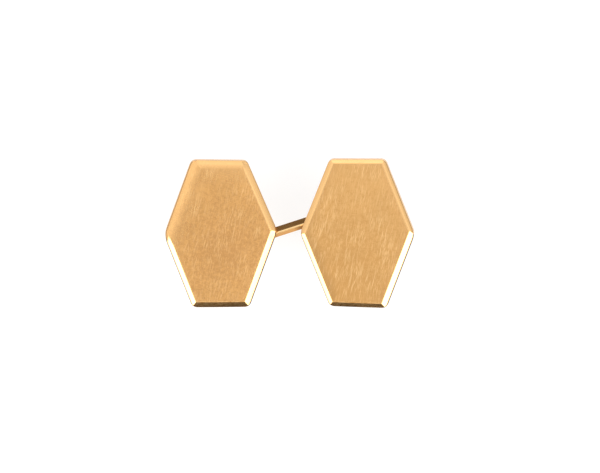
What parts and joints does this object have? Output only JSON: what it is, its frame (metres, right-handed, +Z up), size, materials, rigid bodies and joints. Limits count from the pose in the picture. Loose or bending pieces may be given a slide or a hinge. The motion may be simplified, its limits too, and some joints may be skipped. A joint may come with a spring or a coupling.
{
  "type": "double-faced cufflink",
  "caption": "Double-faced cufflink: bevelled hexagonal heads, satin on the face and bright on the bevel, swing on wire bows at the ends of a loose bar link.",
  "frame": {"origin": "on the table under the middle of the part's box, with the part lying as it settles, faces up", "axes": "+Z up from the table, +X across the two heads from left to right, +Y along the heads towards the end where the bar rises"},
  "size_m": [0.0266, 0.016, 0.0047],
  "materials": {
    "satin_gold": "satin-brushed gold",
    "polished_gold": "polished gold",
    "drawn_gold": "drawn gold wire"
  },
  "bodies": {
    "link": {"link_bar": "drawn_gold", "left_eye_ring": "drawn_gold", "right_eye_ring": "drawn_gold"},
    "left_head": {"left_face": "satin_gold", "left_back_plate": "polished_gold", "left_bow": "drawn_gold"},
    "right_head": {"right_face": "satin_gold", "right_back_plate": "polished_gold", "right_bow": "drawn_gold"}
  },
  "joints": [
    {"name": "left_swing", "type": "hinge", "parent": "link", "child": "left_head", "pos_m": [-0.00757, 0.00016, 0.00124], "axis": [-0.0018, -0.9946, -0.104], "range_deg": [0, 191.46]},
    {"name": "right_swing", "type": "hinge", "parent": "link", "child": "right_head", "pos_m": [0.00744, 0.00019, 0.00073], "axis": [0.0018, 0.9946, 0.104], "range_deg": [0, 191.46]}
  ]
}
